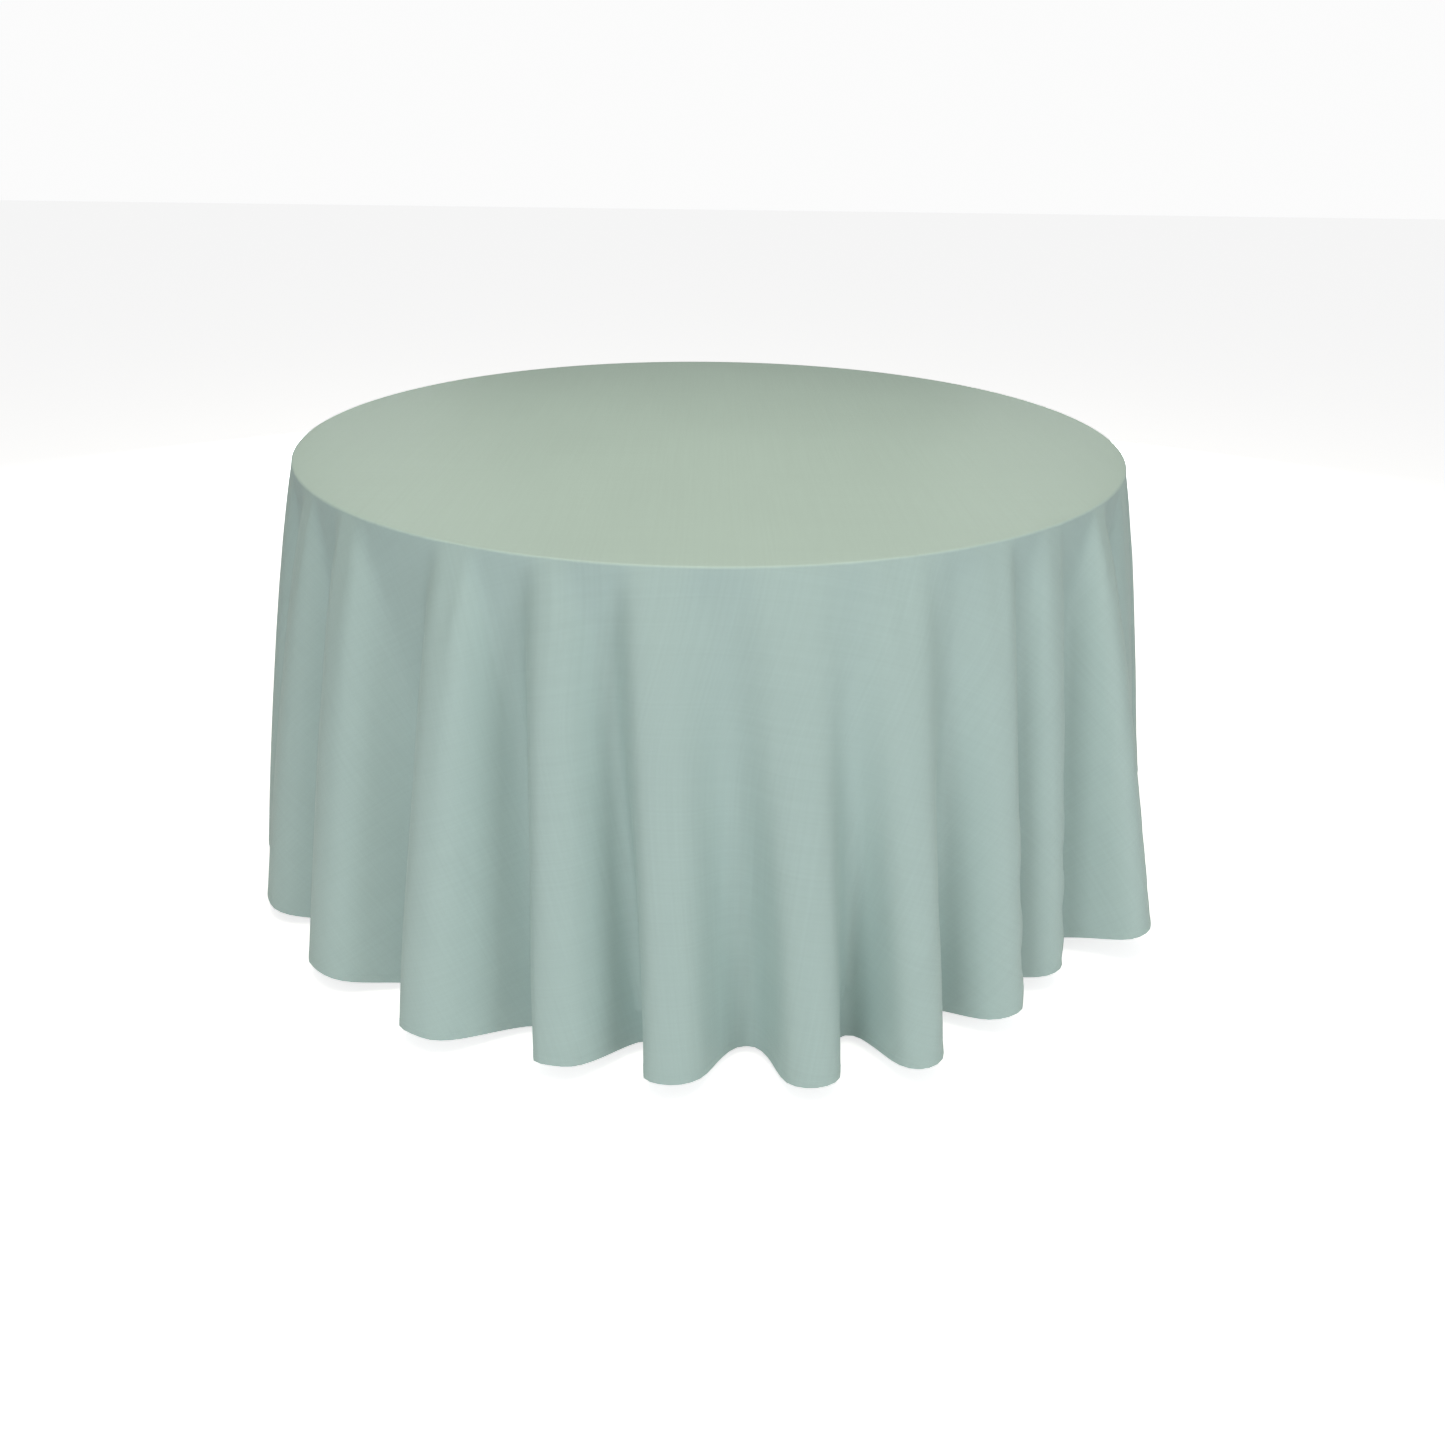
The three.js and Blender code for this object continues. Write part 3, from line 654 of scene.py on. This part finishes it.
def make_wood(name, pale, dark, spacing, roughness, groups, coat):
    material, tree, surface = start_material(name, roughness)
    grain = place_group(tree, groups["grain"], {
        "Place": object_place(tree), "Pale": pale, "Dark": dark, "Spacing": spacing})
    mottle = place_group(tree, groups["mottle"], {
        "Place": object_place(tree), "Size": 0.2, "Amount": 0.2,
        "Roughness": roughness, "Roughness Spread": 0.15})
    tree.links.new(tone_colour(tree, grain["Color"], mottle["Tone"]), surface.inputs["Base Color"])
    tree.links.new(mottle["Roughness"], surface.inputs["Roughness"])
    surface.inputs["Coat Weight"].default_value = coat
    surface.inputs["Coat Roughness"].default_value = 0.3
    add_bump(tree, surface, grain["Height"], 0.0002)
    return material


def make_plain(name, colour, roughness, metallic, groups, size, amount, bump_size, bump):
    """Plastic, paint, plate or rubber: its own unevenness, with a fine or coarse skin."""
    material, tree, surface = start_material(name, roughness, metallic)
    place = object_place(tree)
    mottle = place_group(tree, groups["mottle"], {
        "Place": place, "Size": size, "Amount": amount,
        "Roughness": roughness, "Roughness Spread": 0.25})
    tree.links.new(tone_colour(tree, colour, mottle["Tone"]), surface.inputs["Base Color"])
    tree.links.new(mottle["Roughness"], surface.inputs["Roughness"])
    skin = add_node(tree, "ShaderNodeTexNoise", {}, {
        "Vector": place, "Scale": 1 / bump_size, "Detail": 2.0})
    add_bump(tree, surface, skin.outputs[0], bump)
    return material


def make_materials():
    groups = {"mottle": make_mottle_group(), "weave": make_weave_group(),
              "grain": make_grain_group()}
    return {
        "cloth": make_fabric("satin_polyester", groups),
        "hem": make_fabric("folded_polyester", groups),
        "thread": make_thread(groups),
        "plywood": make_wood("birch_plywood", BIRCH_PALE, BIRCH_DARK, 0.05, 0.4, groups, 0.3),
        "runner": make_wood("planed_softwood", SOFTWOOD_PALE, SOFTWOOD_DARK, 0.018, 0.6,
                            groups, 0.0),
        "vinyl": make_plain("vinyl_edging", BROWN_VINYL, 0.42, 0.0, groups,
                            0.03, 0.2, 0.0012, 0.0001),
        "steel": make_plain("powder_coated_steel", DARK_POWDER, 0.45, 0.0, groups,
                            0.02, 0.25, 0.0011, 0.00015),
        "zinc": make_plain("zinc_plate", ZINC_GREY, 0.32, 1.0, groups,
                           0.008, 0.35, 0.004, 0.00003),
        "rubber": make_plain("moulded_rubber", BLACK_RUBBER, 0.75, 0.0, groups,
                             0.01, 0.4, 0.002, 0.0001),
    }


MATERIALS = make_materials()

# Which material each node of the table gets, by the start of its name.
TABLE_FINISHES = [
    ("plywood_top", "plywood"), ("edge_band", "vinyl"), ("runner_screw", "zinc"),
    ("runner", "runner"), ("hinge_bracket", "zinc"), ("bracket_screw", "zinc"),
    ("brace_track", "zinc"), ("track_screw", "zinc"), ("pivot_tube", "steel"),
    ("cross_rail", "steel"), ("leg", "steel"), ("foot_cap", "rubber"),
    ("brace_collar", "rubber"), ("brace_glide_pin", "zinc"), ("brace", "steel"),
]


def finish_table():
    for name, node in frame["nodes"].items():
        for start, material in TABLE_FINISHES:
            if name.startswith(start):
                for place in node.material_slots:
                    place.material = MATERIALS[material]
                break


# ------------------------------------------------------------------ studio

CAMERA_PLACE = (0.0, -2.009, 1.222)
CAMERA_DOWN, CAMERA_RIGHT, CAMERA_ROLL = (math.radians(x) for x in (28.874, 0.846, 0.797))
CAMERA_LENS, CAMERA_SENSOR = 25.41, 36.0


def make_camera():
    camera = bpy.data.objects.new("camera", bpy.data.cameras.new("camera"))
    camera.data.sensor_width = CAMERA_SENSOR
    camera.data.lens = CAMERA_LENS
    forward = Vector((math.sin(CAMERA_RIGHT) * math.cos(CAMERA_DOWN),
                      math.cos(CAMERA_RIGHT) * math.cos(CAMERA_DOWN), -math.sin(CAMERA_DOWN)))
    level = Vector((math.cos(CAMERA_RIGHT), -math.sin(CAMERA_RIGHT), 0))
    upward = level.cross(forward)
    right = level * math.cos(CAMERA_ROLL) + upward * math.sin(CAMERA_ROLL)
    up = upward * math.cos(CAMERA_ROLL) - level * math.sin(CAMERA_ROLL)
    camera.matrix_world = Matrix.Translation(CAMERA_PLACE) @ Matrix(
        (right, up, -forward)).transposed().to_4x4()
    bpy.context.scene.collection.objects.link(camera)
    bpy.context.scene.camera = camera


def add_softbox(name, place, aim, size, power, colour):
    lamp = bpy.data.lights.new(name, "AREA")
    lamp.size = size
    lamp.energy = power
    lamp.color = colour
    softbox = bpy.data.objects.new(name, lamp)
    softbox.location = place
    softbox.rotation_euler = (Vector(aim) - Vector(place)).to_track_quat("-Z", "Y").to_euler()
    softbox.visible_camera = False
    bpy.context.scene.collection.objects.link(softbox)


COOL, WARM = (0.93, 0.985, 1.0), (1.0, 0.93, 0.75)
# Name, place, the point it faces, size, power and colour of each softbox.
SOFTBOXES = [
    ("left_softbox", (-1.6, -3.4, 0.8), (0, 0, 0.3), 1.3, 26, COOL),
    ("right_softbox", (2.4, -2.9, 0.9), (0, 0, 0.3), 1.3, 25, COOL),
    ("top_softbox", (0, -0.5, 2.9), (0, -0.3, 0.76), 1.8, 51, WARM),
    ("back_left_softbox", (-1.8, 3.3, 0.5), (0, 0, 0.35), 0.9, 26, COOL),
    ("back_right_softbox", (1.8, 3.3, 0.5), (0, 0, 0.35), 0.9, 26, COOL),
]
SKY_LIGHT = (0.07, 0.42)        # what the sky gives, from its dark side to its bright one
SKY_BRIGHT_SIDE = (0.2, -0.83, 0.52)
BACKDROP_LIGHT = 0.97           # how bright the sky looks behind the table
FLOOR_LIFT = 0.70               # how much paler the floor looks than its own light makes it


def make_floor():
    """A plain pale floor that is clear from underneath, so that the underside can be seen."""
    bpy.ops.mesh.primitive_plane_add(size=60)
    floor = bpy.context.object
    floor.name = "floor"
    material, tree, surface = start_material("pale_floor", 0.9)
    surface.inputs["Base Color"].default_value = (0.92, 0.92, 0.92, 1)
    surface.inputs["Specular IOR Level"].default_value = 0.1
    surface.inputs["Emission Color"].default_value = (1, 1, 1, 1)
    seen = add_node(tree, "ShaderNodeLightPath").outputs["Is Camera Ray"]
    tree.links.new(between(tree, seen, 0.0, FLOOR_LIFT), surface.inputs["Emission Strength"])
    below = add_node(tree, "ShaderNodeNewGeometry").outputs["Backfacing"]
    clear = add_node(tree, "ShaderNodeBsdfTransparent").outputs[0]
    one_sided = add_node(tree, "ShaderNodeMixShader", {},
                         {0: below, 1: surface.outputs[0], 2: clear})
    tree.links.new(one_sided.outputs[0], tree.nodes["Material Output"].inputs["Surface"])
    floor.data.materials.append(material)


def make_sky():
    """A soft sky, brighter towards the front, that looks plain white itself."""
    world = bpy.data.worlds.new("studio")
    world.use_nodes = True
    sky = world.node_tree.nodes["Background"]
    sky.inputs["Color"].default_value = (1, 1, 1, 1)
    seen = add_node(world.node_tree, "ShaderNodeLightPath").outputs["Is Camera Ray"]
    direction = add_node(world.node_tree, "ShaderNodeTexCoord").outputs["Generated"]
    facing = add_node(world.node_tree, "ShaderNodeVectorMath", {"operation": "DOT_PRODUCT"},
                      {0: direction, 1: SKY_BRIGHT_SIDE})
    light = between(world.node_tree, facing.outputs["Value"], *SKY_LIGHT, -0.2, 1.0)
    glow = add_node(world.node_tree, "ShaderNodeMix", {"data_type": "FLOAT"},
                    {0: seen, 2: light, 3: BACKDROP_LIGHT})
    world.node_tree.links.new(glow.outputs[0], sky.inputs["Strength"])
    bpy.context.scene.world = world


def make_studio():
    make_floor()
    make_sky()
    for softbox in SOFTBOXES:
        add_softbox(*softbox)
    bpy.context.scene.view_settings.view_transform = "Standard"


bpy.ops.object.select_all(action="DESELECT")
make_camera()
finish_table()
make_cloth()
make_studio()
